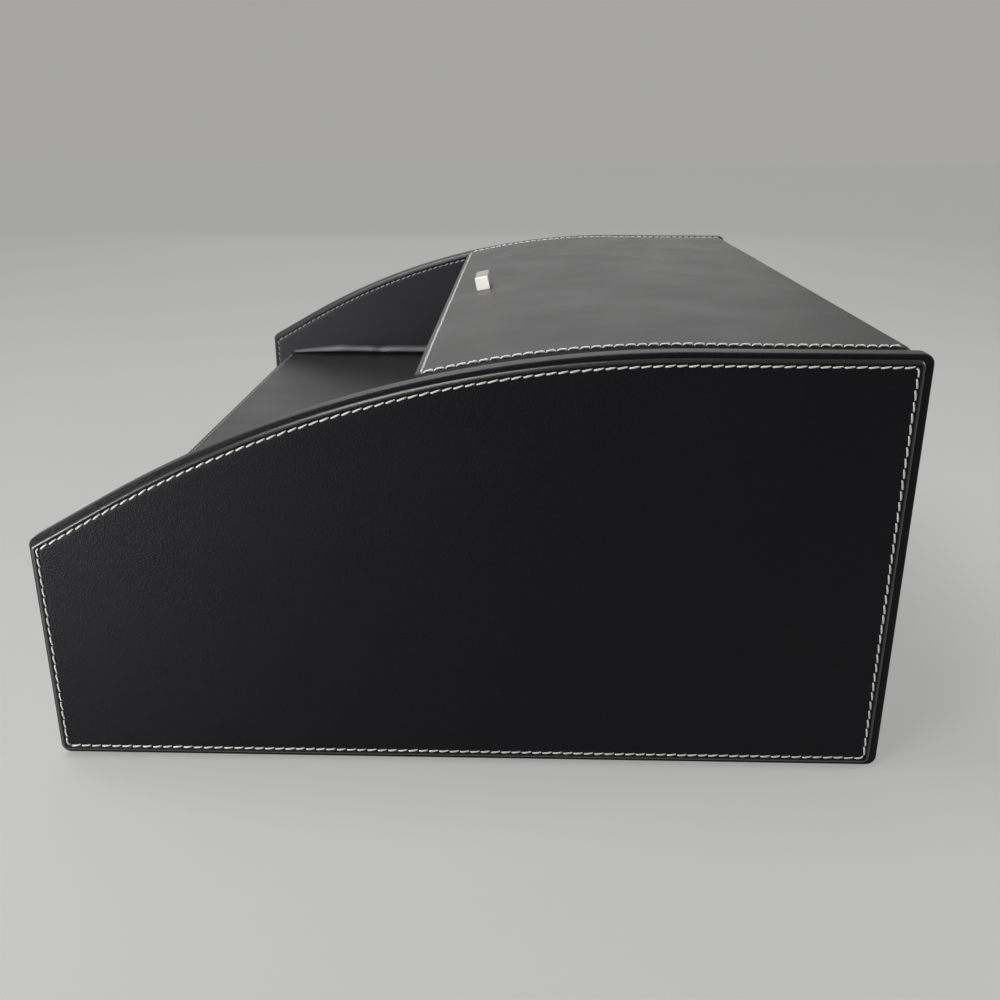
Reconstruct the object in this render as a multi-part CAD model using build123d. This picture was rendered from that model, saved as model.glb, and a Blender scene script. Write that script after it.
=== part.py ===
"""Leather-covered stationery box with two curved side panels, an open front tray,
a leather-hinged lid over the rear compartment and a drawer under the tray.

Units are millimetres. +X is the box's right side, +Y its rear, +Z up.
The origin is on the standing surface, midway between the sides and midway front to back.
"""

import os
from math import cos, radians, sin, sqrt, tan

from build123d import *

os.makedirs("parts", exist_ok=True)

# ---------------------------------------------------------------- overall form
WIDTH = 443.0                 # over the two outer skins
DEPTH = 350.0                 # side panel, front edge to rear edge
HEIGHT = 178.6                # standing surface to the flat top of the sides
TOP_RADIUS = 475.8            # arc between the flat top and the front slope
TOP_SLOPE = 29.5              # degrees, front slope below the arc
FLAT_LENGTH = 85.4            # flat top, measured forward from the rear edge
CORNER_RADIUS = 4.0           # the four corners of a side panel

# ---------------------------------------------------------------- materials' thicknesses
SIDE_BOARD = 9.5
EDGE_WRAP = 0.8               # leather round the edge of a side board
OUTER_SKIN = 1.9
INNER_SKIN = 1.2
BOARD = 9.0                   # base, deck, back, divider, lid and drawer front
LEATHER = 1.2                 # leather on those boards
SUEDE = 0.8                   # lining on walls and under the lid
PAD = 1.5                     # lined pad on a floor
FELT = 1.2                    # felt under the base

# ---------------------------------------------------------------- outer and inner skins
SKIN_TOP_INSET = 2.0          # skin's edge below the side's top edge
SKIN_REAR_INSET = 3.5
SKIN_FRONT_INSET = 1.2
SKIN_BOTTOM_INSET = 1.9
SKIN_EDGE_ROUND = 0.8         # turned edge of a skin
FELT_INSET = 3.0              # felt's edge inside the outline of the box

# ---------------------------------------------------------------- deck, back and divider
DECK_HEIGHT = 86.4            # standing surface to the deck's leather
DECK_SETBACK = 12.2           # deck's and drawer's front behind the sides' front edge
DECK_TURN_UNDER = 12.0        # leather turned under the deck's front edge
EDGE_ROUND = 2.2              # leather folded over a board's front edge
BACK_SETBACK = 3.5            # back's outer leather inside the sides' rear edge
ROLL_RADIUS = 6.0             # padded roll between a side and the deck
ROLL_TIP_RADIUS = 1.7         # the same at its front tip
ROLL_START = 8.0              # roll's front tip behind the deck's front edge
ROLL_TAPER = 44.0             # length over which the roll grows to its full section

# ---------------------------------------------------------------- lid
LID_LENGTH = 191.5            # lid's front edge to the back's outer leather
LID_SIDE_GAP = 1.5            # lid to a side's inner skin
LID_REST_GAP = 0.4            # lid to the divider and the back below it
LID_OVERHANG = 2.5            # lid's front edge ahead of the divider
LID_EDGE_ROUND = 2.0
LID_LINING_INSET = 3.0        # lining's edge inside the lid's edge
HINGE_STRIP = 14.0            # width of the inner hinge strip on each side of the joint
HINGE_STRIP_GAP = 0.4         # strip to the lining beside it
HINGE_CORNER_GAP = 0.5        # between the two halves of the strip, at the inner corner

# ---------------------------------------------------------------- pulls
PULL_SECTION = 7.4            # square section of a bar pull
PULL_LENGTH = 28.0
PULL_BEVEL = 0.4
LID_PULL_SETBACK = 20.2       # pull's centre behind the lid's front edge
SCREW_SPACING = 16.0
SCREW_RADIUS = 1.5
SCREW_HEAD_RADIUS = 3.0
SCREW_HEAD_HEIGHT = 1.6
SCREW_ENGAGEMENT = 5.0        # thread inside the pull
WASHER_RADIUS = 4.5
WASHER_THICKNESS = 0.6
WASHER_SEAT_GAP = 0.05        # flat washer under the hollow side of the lid

# ---------------------------------------------------------------- drawer
DRAWER_SIDE_GAP = 0.8
DRAWER_EDGE_ROUND = 1.2
DRAWER_TOP_GAP = 1.0
DRAWER_FLOOR_GAP = 0.3
DRAWER_FRONT_FLOOR_GAP = 1.0
DRAWER_REAR_GAP = 0.5
DRAWER_WALL = 6.0
DRAWER_WALL_DROP = 10.0       # drawer walls' top below the top of the drawer front
DRAWER_BOTTOM = 4.0
DRAWER_BOTTOM_RISE = 4.0      # drawer bottom above the walls' lower edge
GROOVE = 3.0                  # depth of the groove that holds the drawer bottom

# ---------------------------------------------------------------- places worked out from them
FRONT = -DEPTH / 2
REAR = DEPTH / 2
FLAT_START = REAR - FLAT_LENGTH
ARC_CENTRE_Z = HEIGHT - TOP_RADIUS
INNER_FACE = WIDTH / 2 - OUTER_SKIN - SIDE_BOARD - INNER_SKIN
BOARD_FACE = INNER_FACE + INNER_SKIN
SKIN_FACE = WIDTH / 2 - OUTER_SKIN

DECK_FRONT = FRONT + DECK_SETBACK
DECK_TOP = DECK_HEIGHT - LEATHER
DECK_BOTTOM = DECK_TOP - BOARD
BASE_TOP = FELT + BOARD
BASE_FLOOR = BASE_TOP + LEATHER

BACK_OUTER = REAR - BACK_SETBACK
BACK_BOARD_REAR = BACK_OUTER - LEATHER
BACK_BOARD_FRONT = BACK_BOARD_REAR - BOARD

LID_FRONT = BACK_OUTER - LID_LENGTH
LID_BODY = LEATHER + BOARD    # depth of the lid's leather edge
LID_WIDTH = 2 * (INNER_FACE - LID_SIDE_GAP)
LID_LINING_FRONT = LID_FRONT + LID_LINING_INSET
LID_STRIP_REAR = BACK_BOARD_FRONT - SUEDE - HINGE_CORNER_GAP
LID_STRIP_FRONT = LID_STRIP_REAR - HINGE_STRIP
LID_LINING_REAR = LID_STRIP_FRONT - HINGE_STRIP_GAP

DIVIDER_OUTER = LID_FRONT + LID_OVERHANG
DIVIDER_BOARD_FRONT = DIVIDER_OUTER + LEATHER
DIVIDER_BOARD_REAR = DIVIDER_BOARD_FRONT + BOARD
DIVIDER_REAR = DIVIDER_BOARD_REAR + LEATHER

DRAWER_TOP = DECK_BOTTOM - LEATHER - DRAWER_TOP_GAP
DRAWER_FRONT_FLOOR = BASE_FLOOR + DRAWER_FRONT_FLOOR_GAP
DRAWER_FLOOR = BASE_FLOOR + DRAWER_FLOOR_GAP
DRAWER_WALL_TOP = DRAWER_TOP - DRAWER_WALL_DROP
DRAWER_HALF = INNER_FACE - DRAWER_SIDE_GAP
DRAWER_BOARD_FRONT = DECK_FRONT + LEATHER
DRAWER_BOARD_REAR = DRAWER_BOARD_FRONT + BOARD
DRAWER_REAR = BACK_BOARD_FRONT - DRAWER_REAR_GAP
DRAWER_BOTTOM_LOW = DRAWER_FLOOR + DRAWER_BOTTOM_RISE
DRAWER_BOTTOM_HIGH = DRAWER_BOTTOM_LOW + DRAWER_BOTTOM


def save(node, *solids):
    """Write one node; several solids of one kind share a node."""
    shape = solids[0] if len(solids) == 1 else Compound(children=list(solids))
    shape.label = node
    export_step(shape, f"parts/{node}.step")


def block(x0, x1, y0, y1, z0, z1):
    """Box between two corners."""
    low = Pos(x0, y0, z0)
    return low * Box(x1 - x0, y1 - y0, z1 - z0, align=(Align.MIN, Align.MIN, Align.MIN))


def along_x(face, x0, x1):
    """Extrude an outline drawn in the YZ plane from x0 to x1."""
    return extrude(Plane.YZ.offset(x0) * face, amount=x1 - x0)


def top_height(y, inset=0.0):
    """Height of the curved top, or of a curve lying inset below it, at a given Y."""
    radius = TOP_RADIUS - inset
    slope = radians(TOP_SLOPE)
    arc_start = FLAT_START - radius * sin(slope)
    if y >= FLAT_START:
        return HEIGHT - inset
    if y >= arc_start:
        return ARC_CENTRE_Z + sqrt(radius**2 - (y - FLAT_START) ** 2)
    return ARC_CENTRE_Z + radius * cos(slope) - (arc_start - y) * tan(slope)


def under_top(inset):
    """Face below the curve that lies inset under the top: slope, tangent arc and flat."""
    arc_start = FLAT_START - (TOP_RADIUS - inset) * sin(radians(TOP_SLOPE))
    arc_middle = (arc_start + FLAT_START) / 2
    far_front = arc_start - DEPTH
    low = top_height(far_front, inset) - HEIGHT
    arc = ThreePointArc(*((y, top_height(y, inset)) for y in (arc_start, arc_middle, FLAT_START)))
    rest = Polyline(
        (FLAT_START, HEIGHT - inset),
        (REAR + DEPTH, HEIGHT - inset),
        (REAR + DEPTH, low),
        (far_front, low),
        (far_front, top_height(far_front, inset)),
        (arc_start, top_height(arc_start, inset)),
    )
    return make_face((arc + rest).edges())


def outline(front, rear, bottom, top=0.0):
    """Face from front to rear and from bottom up to the curve that lies top under the top."""
    corner = Pos(front, bottom)
    window = corner * Rectangle(rear - front, 2 * HEIGHT, align=(Align.MIN, Align.MIN))
    return under_top(top) & window


def panel(inset_front, inset_rear, inset_bottom, inset_top, round_by):
    """Side panel's face, with each edge brought in by its own amount and the corners rounded."""
    front = FRONT + inset_front
    rear = REAR - inset_rear
    face = outline(front, rear, FELT + inset_bottom, inset_top)
    ends = (front, rear)
    corners = [v for v in face.vertices() if min(abs(v.X - y) for y in ends) < 0.01]
    return fillet(corners, max(round_by, 0.5))


def mirrored(x0, x1, side):
    """The pair of X values on one side of the box: side is -1 left, +1 right."""
    return tuple(sorted((side * x0, side * x1)))


def side_board(side):
    face = panel(EDGE_WRAP, EDGE_WRAP, EDGE_WRAP, EDGE_WRAP, CORNER_RADIUS - EDGE_WRAP)
    return along_x(face, *mirrored(BOARD_FACE, SKIN_FACE, side))


def edge_wrap(side):
    """Leather band folded round the board's edge."""
    face = panel(0, 0, 0, 0, CORNER_RADIUS)
    face -= panel(EDGE_WRAP, EDGE_WRAP, EDGE_WRAP, EDGE_WRAP, CORNER_RADIUS - EDGE_WRAP)
    return along_x(face, *mirrored(BOARD_FACE, SKIN_FACE, side))


def skin_face():
    insets = (SKIN_FRONT_INSET, SKIN_REAR_INSET, SKIN_BOTTOM_INSET, SKIN_TOP_INSET)
    return panel(*insets, CORNER_RADIUS - SKIN_FRONT_INSET)


def outer_skin(side):
    """Stitched skin on the outside, its turned edge rounded."""
    skin = along_x(skin_face(), *mirrored(SKIN_FACE, WIDTH / 2, side))
    outer = skin.faces().sort_by(Axis.X)[-1 if side > 0 else 0]
    return fillet(outer.edges(), SKIN_EDGE_ROUND)


def inner_skin(side):
    return along_x(skin_face(), *mirrored(INNER_FACE, BOARD_FACE, side))


def deck_roll(side):
    """Padded quarter-round leather roll in the corner between a side and the deck, slim at the front."""
    wall = side * INNER_FACE
    tip = DECK_FRONT + ROLL_START
    full = tip + ROLL_TAPER
    profile = make_face(Polyline(
        (wall, tip),
        (wall - side * ROLL_TIP_RADIUS, tip),
        (wall - side * ROLL_RADIUS, full),
        (wall - side * ROLL_RADIUS, DIVIDER_OUTER),
        (wall, DIVIDER_OUTER),
        (wall, tip),
    ).edges())
    corner = Axis((wall, 0, DECK_HEIGHT), (0, side, 0))
    return revolve(Pos(0, 0, DECK_HEIGHT) * profile, corner, revolution_arc=90)


def base_board():
    return block(-INNER_FACE, INNER_FACE, DECK_FRONT + LEATHER, BACK_BOARD_FRONT, FELT, BASE_TOP)


def base_skin():
    """Leather on the base's top, folded over its front edge down to the felt."""
    sheet = block(-INNER_FACE, INNER_FACE, DECK_FRONT, BACK_BOARD_FRONT, FELT, BASE_FLOOR)
    front_edge = sheet.edges().filter_by(Axis.X).group_by(Axis.Z)[-1].sort_by(Axis.Y)[0]
    return fillet(front_edge, EDGE_ROUND) - base_board()


def base_felt():
    """Felt under the base and the two sides, kept inside their outline."""
    half = SKIN_FACE - FELT_INSET
    felt = block(-INNER_FACE, INNER_FACE, DECK_FRONT + FELT_INSET, BACK_OUTER - FELT_INSET, 0, FELT)
    for side in (-1, 1):
        x0, x1 = mirrored(INNER_FACE, half, side)
        felt += block(x0, x1, FRONT + FELT_INSET, REAR - FELT_INSET, 0, FELT)
    return felt


def back_board():
    face = outline(BACK_BOARD_FRONT, BACK_BOARD_REAR, FELT, LID_BODY + LID_REST_GAP)
    return along_x(face, -INNER_FACE, INNER_FACE)


def back_skin():
    """Leather on the outside of the back, up to the line the lid folds on."""
    face = outline(BACK_BOARD_REAR, BACK_OUTER, FELT, LID_BODY + LID_REST_GAP)
    return along_x(face, -INNER_FACE, INNER_FACE)


def deck_board():
    return block(-INNER_FACE, INNER_FACE, DECK_FRONT + LEATHER, BACK_BOARD_FRONT, DECK_BOTTOM, DECK_TOP)


def deck_skin():
    """Leather on the deck, folded over its front edge and turned under it."""
    turned = DECK_FRONT + DECK_TURN_UNDER
    sheet = block(-INNER_FACE, INNER_FACE, DECK_FRONT, BACK_BOARD_FRONT, DECK_BOTTOM - LEATHER, DECK_HEIGHT)
    sheet -= block(-INNER_FACE, INNER_FACE, turned, BACK_BOARD_FRONT, DECK_BOTTOM - LEATHER, DECK_BOTTOM)
    front_edges = [e for e in sheet.edges().filter_by(Axis.X) if abs(e.center().Y - DECK_FRONT) < 0.01]
    return fillet(front_edges, EDGE_ROUND) - deck_board()


def divider_board():
    """Compartment's front wall, under the front edge of the lid."""
    top = LID_BODY + SUEDE + LID_REST_GAP + LEATHER
    face = outline(DIVIDER_BOARD_FRONT, DIVIDER_BOARD_REAR, DECK_HEIGHT, top)
    return along_x(face, -INNER_FACE, INNER_FACE)


def divider_skin():
    """Leather over both faces and the top edge of the divider."""
    face = outline(DIVIDER_OUTER, DIVIDER_REAR, DECK_HEIGHT, LID_BODY + SUEDE + LID_REST_GAP)
    return along_x(face, -INNER_FACE, INNER_FACE) - divider_board()


def compartment_lining():
    """Suede pad on the compartment's floor and suede sheet up its back wall."""
    floor = block(-INNER_FACE, INNER_FACE, DIVIDER_REAR, BACK_BOARD_FRONT, DECK_HEIGHT, DECK_HEIGHT + PAD)
    sheet_top = HEIGHT - LID_BODY - LID_REST_GAP - HINGE_STRIP - HINGE_STRIP_GAP
    wall = block(-INNER_FACE, INNER_FACE, BACK_BOARD_FRONT - SUEDE, BACK_BOARD_FRONT,
                 DECK_HEIGHT + PAD, sheet_top)
    return floor + wall


def hinge_strip_lower():
    """Inner hinge strip, the half glued to the back."""
    top = HEIGHT - LID_BODY - LID_REST_GAP
    return block(-INNER_FACE, INNER_FACE, BACK_BOARD_FRONT - SUEDE, BACK_BOARD_FRONT, top - HINGE_STRIP, top)


def hinge_strip_upper():
    """Inner hinge strip, the half glued under the lid."""
    half = LID_WIDTH / 2 - LID_LINING_INSET
    under = HEIGHT - LID_BODY
    return block(-half, half, LID_STRIP_FRONT, LID_STRIP_REAR, under - SUEDE, under)


def lid_board():
    face = outline(LID_FRONT + LEATHER, BACK_BOARD_REAR, DECK_HEIGHT, LEATHER)
    face -= outline(LID_FRONT + LEATHER, BACK_BOARD_REAR, DECK_HEIGHT, LID_BODY)
    half = LID_WIDTH / 2 - LEATHER
    board = along_x(face, -half, half)
    for hole in pull_places(lid_pull_plane()):
        board -= hole * Cylinder(SCREW_RADIUS, 4 * BOARD)
    return board


def lid_skin():
    """Leather over the lid's top and down its four edges; at the rear it ends on the fold line."""
    face = outline(LID_FRONT, BACK_OUTER, DECK_HEIGHT)
    face -= outline(LID_FRONT, BACK_OUTER, DECK_HEIGHT, LID_BODY)
    shell = along_x(face, -LID_WIDTH / 2, LID_WIDTH / 2)
    top_faces = [f for f in shell.faces() if f.normal_at().Z > 0.5]
    rim = ShapeList(e for f in top_faces for e in f.edges())
    half = LID_WIDTH / 2
    outer = [
        e for e in rim
        if abs(abs(e.center().X) - half) < 0.01
        or abs(e.center().Y - LID_FRONT) < 0.01
        or abs(e.center().Y - BACK_OUTER) < 0.01
    ]
    shell = fillet(outer, LID_EDGE_ROUND)
    inner = outline(LID_FRONT + LEATHER, BACK_BOARD_REAR, DECK_HEIGHT, LEATHER)
    shell -= along_x(inner, LEATHER - half, half - LEATHER)
    for hole in pull_places(lid_pull_plane()):
        shell -= hole * Cylinder(SCREW_RADIUS, 4 * BOARD)
    return shell


def lid_lining():
    face = outline(LID_LINING_FRONT, LID_LINING_REAR, DECK_HEIGHT, LID_BODY)
    face -= outline(LID_LINING_FRONT, LID_LINING_REAR, DECK_HEIGHT, LID_BODY + SUEDE)
    half = LID_WIDTH / 2 - LID_LINING_INSET
    lining = along_x(face, -half, half)
    for hole in pull_places(lid_pull_plane()):
        lining -= hole * Cylinder(WASHER_RADIUS, 4 * BOARD)
    return lining


def lid_pull_plane():
    """Plane on the lid's leather at the pull, its Z square to the lid."""
    y = LID_FRONT + LID_PULL_SETBACK
    lean = (FLAT_START - y) / TOP_RADIUS
    normal = (0, -lean, sqrt(1 - lean**2))
    return Plane(origin=(0, y, top_height(y)), x_dir=(1, 0, 0), z_dir=normal)


def drawer_pull_plane():
    """Plane on the drawer front's leather at the pull, its Z to the front."""
    middle = (DRAWER_TOP + DRAWER_FRONT_FLOOR) / 2
    return Plane(origin=(0, DECK_FRONT, middle), x_dir=(1, 0, 0), z_dir=(0, -1, 0))


def pull_places(plane):
    """The two screw axes of a pull."""
    return [plane * Pos(x, 0, 0) for x in (-SCREW_SPACING / 2, SCREW_SPACING / 2)]


def pull(plane):
    """Square bar pull with blind threaded holes for its two screws."""
    bar = Box(PULL_LENGTH, PULL_SECTION, PULL_SECTION, align=(Align.CENTER, Align.CENTER, Align.MIN))
    bar = chamfer(bar.edges(), PULL_BEVEL)
    for x in (-SCREW_SPACING / 2, SCREW_SPACING / 2):
        bar -= Pos(x, 0, 0) * Cylinder(SCREW_RADIUS, 2 * SCREW_ENGAGEMENT)
    return plane * bar


def screws(plane, depth):
    """Two screws from under a panel of the given thickness into the pull."""
    head_at = depth + WASHER_THICKNESS
    shank = Pos(0, 0, -head_at) * Cylinder(
        SCREW_RADIUS, head_at + SCREW_ENGAGEMENT, align=(Align.CENTER, Align.CENTER, Align.MIN))
    head = Pos(0, 0, -head_at - SCREW_HEAD_HEIGHT) * Cylinder(
        SCREW_HEAD_RADIUS, SCREW_HEAD_HEIGHT, align=(Align.CENTER, Align.CENTER, Align.MIN))
    return [place * (shank + head) for place in pull_places(plane)]


def washers(plane, depth):
    ring = Cylinder(WASHER_RADIUS, WASHER_THICKNESS, align=(Align.CENTER, Align.CENTER, Align.MAX))
    ring -= Cylinder(SCREW_RADIUS, 3 * WASHER_THICKNESS)
    return [place * Pos(0, 0, -depth) * ring for place in pull_places(plane)]


def drawer_front_board():
    board = block(LEATHER - DRAWER_HALF, DRAWER_HALF - LEATHER, DRAWER_BOARD_FRONT, DRAWER_BOARD_REAR,
                  DRAWER_FRONT_FLOOR + LEATHER, DRAWER_TOP - LEATHER)
    for hole in pull_places(drawer_pull_plane()):
        board -= hole * Cylinder(SCREW_RADIUS, 4 * BOARD)
    return board - drawer_bottom()


def drawer_front_skin():
    """Leather over the drawer front and round its four edges."""
    shell = block(-DRAWER_HALF, DRAWER_HALF, DECK_FRONT, DRAWER_BOARD_REAR, DRAWER_FRONT_FLOOR, DRAWER_TOP)
    shell = fillet(shell.faces().sort_by(Axis.Y)[0].edges(), DRAWER_EDGE_ROUND)
    shell -= block(LEATHER - DRAWER_HALF, DRAWER_HALF - LEATHER, DRAWER_BOARD_FRONT, DRAWER_BOARD_REAR,
                   DRAWER_FRONT_FLOOR + LEATHER, DRAWER_TOP - LEATHER)
    for hole in pull_places(drawer_pull_plane()):
        shell -= hole * Cylinder(SCREW_RADIUS, 4 * BOARD)
    return shell


def drawer_side(side):
    x0, x1 = mirrored(DRAWER_HALF - DRAWER_WALL, DRAWER_HALF, side)
    wall = block(x0, x1, DRAWER_BOARD_REAR, DRAWER_REAR, DRAWER_FLOOR, DRAWER_WALL_TOP)
    return wall - drawer_bottom()


def drawer_back():
    half = DRAWER_HALF - DRAWER_WALL
    wall = block(-half, half, DRAWER_REAR - DRAWER_WALL, DRAWER_REAR, DRAWER_FLOOR, DRAWER_WALL_TOP)
    return wall - drawer_bottom()


def drawer_bottom():
    """Thin board held in grooves in the drawer's four walls."""
    half = DRAWER_HALF - DRAWER_WALL + GROOVE
    return block(-half, half, DRAWER_BOARD_REAR - GROOVE, DRAWER_REAR - DRAWER_WALL + GROOVE,
                 DRAWER_BOTTOM_LOW, DRAWER_BOTTOM_HIGH)


def drawer_lining():
    half = DRAWER_HALF - DRAWER_WALL
    return block(-half, half, DRAWER_BOARD_REAR, DRAWER_REAR - DRAWER_WALL,
                 DRAWER_BOTTOM_HIGH, DRAWER_BOTTOM_HIGH + PAD)


for name, side in (("left", -1), ("right", 1)):
    save(f"{name}_side_board", side_board(side))
    save(f"{name}_edge_wrap", edge_wrap(side))
    save(f"{name}_outer_skin", outer_skin(side))
    save(f"{name}_inner_skin", inner_skin(side))
    save(f"{name}_deck_roll", deck_roll(side))
    save(f"drawer_{name}_side", drawer_side(side))

save("base_board", base_board())
save("base_skin", base_skin())
save("base_felt", base_felt())
save("back_board", back_board())
save("back_skin", back_skin())
save("deck_board", deck_board())
save("deck_skin", deck_skin())
save("divider_board", divider_board())
save("divider_skin", divider_skin())
save("compartment_lining", compartment_lining())
save("hinge_strip_lower", hinge_strip_lower())

save("lid_board", lid_board())
save("lid_skin", lid_skin())
save("lid_lining", lid_lining())
save("hinge_strip_upper", hinge_strip_upper())
save("lid_pull", pull(lid_pull_plane()))
save("lid_pull_screws", *screws(lid_pull_plane(), LID_BODY + WASHER_SEAT_GAP))
save("lid_pull_washers", *washers(lid_pull_plane(), LID_BODY + WASHER_SEAT_GAP))

save("drawer_front_board", drawer_front_board())
save("drawer_front_skin", drawer_front_skin())
save("drawer_back", drawer_back())
save("drawer_bottom", drawer_bottom())
save("drawer_lining", drawer_lining())
save("drawer_pull", pull(drawer_pull_plane()))
save("drawer_pull_screws", *screws(drawer_pull_plane(), LEATHER + BOARD))
save("drawer_pull_washers", *washers(drawer_pull_plane(), LEATHER + BOARD))
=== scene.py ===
"""Looks of the leather stationery box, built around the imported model.

Sizes are millimetres in the model's own frame (+X right side, +Y rear, +Z up) and become
metres where a mesh is made. Outlines of the sides and of the lid follow one top curve.
Colours and lamp powers stand where they are used.
"""

from math import cos, degrees, pi, radians, sin, tan

import bmesh
import bpy
import numpy as np
from mathutils import Matrix, Vector, noise


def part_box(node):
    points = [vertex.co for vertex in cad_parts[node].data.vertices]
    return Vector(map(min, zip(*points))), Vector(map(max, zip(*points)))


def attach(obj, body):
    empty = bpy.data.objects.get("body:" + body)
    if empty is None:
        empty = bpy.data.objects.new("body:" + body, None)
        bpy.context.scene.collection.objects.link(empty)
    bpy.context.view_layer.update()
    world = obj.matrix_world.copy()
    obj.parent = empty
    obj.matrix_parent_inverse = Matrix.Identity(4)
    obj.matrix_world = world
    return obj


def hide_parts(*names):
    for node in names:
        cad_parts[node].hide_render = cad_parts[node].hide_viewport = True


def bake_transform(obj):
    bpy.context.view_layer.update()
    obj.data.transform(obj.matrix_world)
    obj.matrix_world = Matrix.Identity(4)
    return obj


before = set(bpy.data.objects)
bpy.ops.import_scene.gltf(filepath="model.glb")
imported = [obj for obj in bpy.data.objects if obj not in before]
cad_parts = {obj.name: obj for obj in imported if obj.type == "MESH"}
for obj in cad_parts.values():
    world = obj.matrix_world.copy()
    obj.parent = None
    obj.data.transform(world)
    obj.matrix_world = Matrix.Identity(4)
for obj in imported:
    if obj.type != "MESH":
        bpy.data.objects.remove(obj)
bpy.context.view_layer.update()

MM = 0.001
SEED = 7

# ---- the top curve
TOP_RADIUS = 475.8          # arc between the flat top and the front slope
TOP_SLOPE = radians(29.5)   # front slope below the arc
FLAT_LENGTH = 85.4          # flat top, measured forward from the rear edge
CORNER_RADIUS = 4.0         # the four corners of a side

# ---- leather
WRAP_OUTER_ROUND = 0.8      # band's edge beside the outer skin
WRAP_INNER_ROUND = 3.0      # band's edge beside the inner skin
WRAP_TUCK = 4.0             # how far the band runs under the skins
WRAP_THICKNESS = 0.8
SHADED_ROWS = 4               # rows of the band's faces beside the outer skin, in the darker leather: painted shade
BEAD = 1.5                  # turned edge of an outer skin
BEAD_FLANK = 0.15           # straight flank of a thin skin below its bead
STITCH_INSET = 2.8          # stitch line behind a skin's edge
STITCH_DIP = 0.28           # leather pulled in along a stitch line
STITCH_DIP_WIDTH = 0.9
CHANNEL_STEP = 0.4          # mesh step across a stitch channel on deck and drawer
SKIN_RIM = 7.0              # width of the modelled rim of a skin
SHEET = 0.8                 # thickness of a folded leather sheet
PANEL_WAVE, PANEL_WAVE_LENGTH = 0.10, 75.0  # unevenness of a glued panel
DECK_WAVE, DECK_WAVE_LENGTH = 0.08, 60.0  # the same on the deck

# ---- thread
STITCH_PITCH = 4.4
STITCH_LENGTH = 4.6
INNER_STITCH_LENGTH = 3.7   # rows in the darker thread, painted shade: inner skins and deck
STITCH_RADIUS = 0.40
LID_STITCH_RADIUS = 0.46
DECK_STITCH_RADIUS = 0.26
STITCH_CREST = 0.42         # thread's centre above the leather, mid stitch
STITCH_DIVE = 0.65          # thread's ends below the leather
STITCH_SLANT = 0.30         # ends to each side of the stitch line
STITCH_RINGS, STITCH_SIDES = 9, 8
PLY_RELIEF = 0.09           # two-ply twist, as a share of the thread's radius
PLY_TURN = 2.2              # radians of twist from mid stitch to its end
INNER_ROW_END = 12.0        # inner rows stop short of the back
ROUND_CREASE = 60.0         # degrees; thread and rolls stay smooth up to this angle

# ---- lid
LID_CORNER = 2.5            # lid's front corners, seen from above
LID_EDGE_ROUND = 1.6
LID_RISE_FRONT = 0.5        # leather above the sides at the lid's front edge
LID_RISE_REAR = -0.2
LID_RISE_RUN = 30.0         # how far behind the arc the rear value starts
LID_CROWN, LID_CROWN_RUN = 0.55, 30.0  # fullness of the leather mid lid
LID_SIDE_FALL = 1.8         # leather outside the side stitches, down to the edge
LID_SIDE_FALL_POWER = 1.2
LID_FRONT_FALL = 0.25
LID_STITCH_SIDE, LID_STITCH_FRONT = 3.1, 3.1  # stitch lines inside the lid's edges
LID_STITCH_CORNER = 1.2     # turn of the stitch line at the lid's front corners
LID_FRONT_DIP = 0.9         # share of the stitch channel's depth at the front row
LID_CHANNEL_CROSS = 2.0     # channels run on past each other at the corners
LID_FRONT_SINK = 0.15       # front row drawn deeper into the leather
LID_FRONT_ROW = 0.6         # stitches this near to the front line belong to its row
LID_RIM = 9.0
LID_FOLD = 3.0              # leather's radius over the lid's rear edge
LID_FOLD_LAG = 0.6          # share of the fold that the sheet's inner edge follows
LID_STITCH_REAR = 0.8       # rows end this far behind the fold's start
LID_TURN_IN = 2.9           # leather turned in under the lid
LID_PLAY = 0.1              # leather's edge below the lid's underside
LID_SHADED_MARGIN = 0.5            # side margin in the darker leather, painted shade, starts inside the stitch line
PULL_DENT, PULL_DENT_STRETCH = 16.0, 1.6  # reach of the dent under the pull, longer along it
LID_DROOP, LID_DROOP_REACH = 0.5, 30.0  # front corners below the front edge's middle

# ---- hinge
HINGE_SLACK = 3.2           # radius of the inner strip at the corner
HINGE_SHEET = 0.7
HINGE_BELOW, HINGE_AHEAD = 1.0, 0.5  # bending part of the strip beyond its round corner
HINGE_GAP = 0.4             # between the back's top and the lid's underside
HINGE_SPREAD = 2.5          # outer leather meshed finely to each side of the lid's underside
HINGE_WIDEN_AT = 1.0        # above the underside, where it starts to widen to the back's width
HINGE_TUCK = 0.4            # sheet's inner edge ahead of the back board, above the hinge
BACK_INSET = 0.2            # back leather inside the back's outline
BACK_STEPS = 5, 21, 34      # rows above, at and below the hinge

# ---- deck, rolls, drawer
DECK_STITCH = 2.7           # stitch line behind the deck's front edge
DECK_STITCH_END = 2.5       # row's ends inside the inner skins
DECK_FOLD = 1.6             # leather's radius over the deck's front edge
DECK_TURN_UNDER = 12.0
DECK_FINE = 9.0             # finely meshed strip behind the deck's front edge
DECK_STEPS = 90             # from side to side
ROLL_TIP = 0.42             # roll's section at its tip, as a share of the full one
ROLL_PINCH = 0.12           # loss of section where the roll is pinched
ROLL_PINCH_AT, ROLL_PINCH_WIDTH = 69.0, 3.5  # behind the tip
ROLL_AHEAD = 4.0            # how far the roll's tip runs on in front of its solid
ROLL_TAPER = 42.0           # length over which the roll grows to its full section
ROLL_SECTION = (  # out from the wall and up from the deck, as shares of its height
    (-0.06, 1.24), (0.05, 1.21), (0.18, 1.15), (0.33, 1.06), (0.48, 0.96), (0.62, 0.84),
    (0.73, 0.71), (0.80, 0.58), (0.82, 0.47), (0.77, 0.38), (0.66, 0.32), (0.50, 0.28),
    (0.36, 0.20), (0.30, 0.08), (0.30, -0.03), (-0.06, -0.03))
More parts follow.
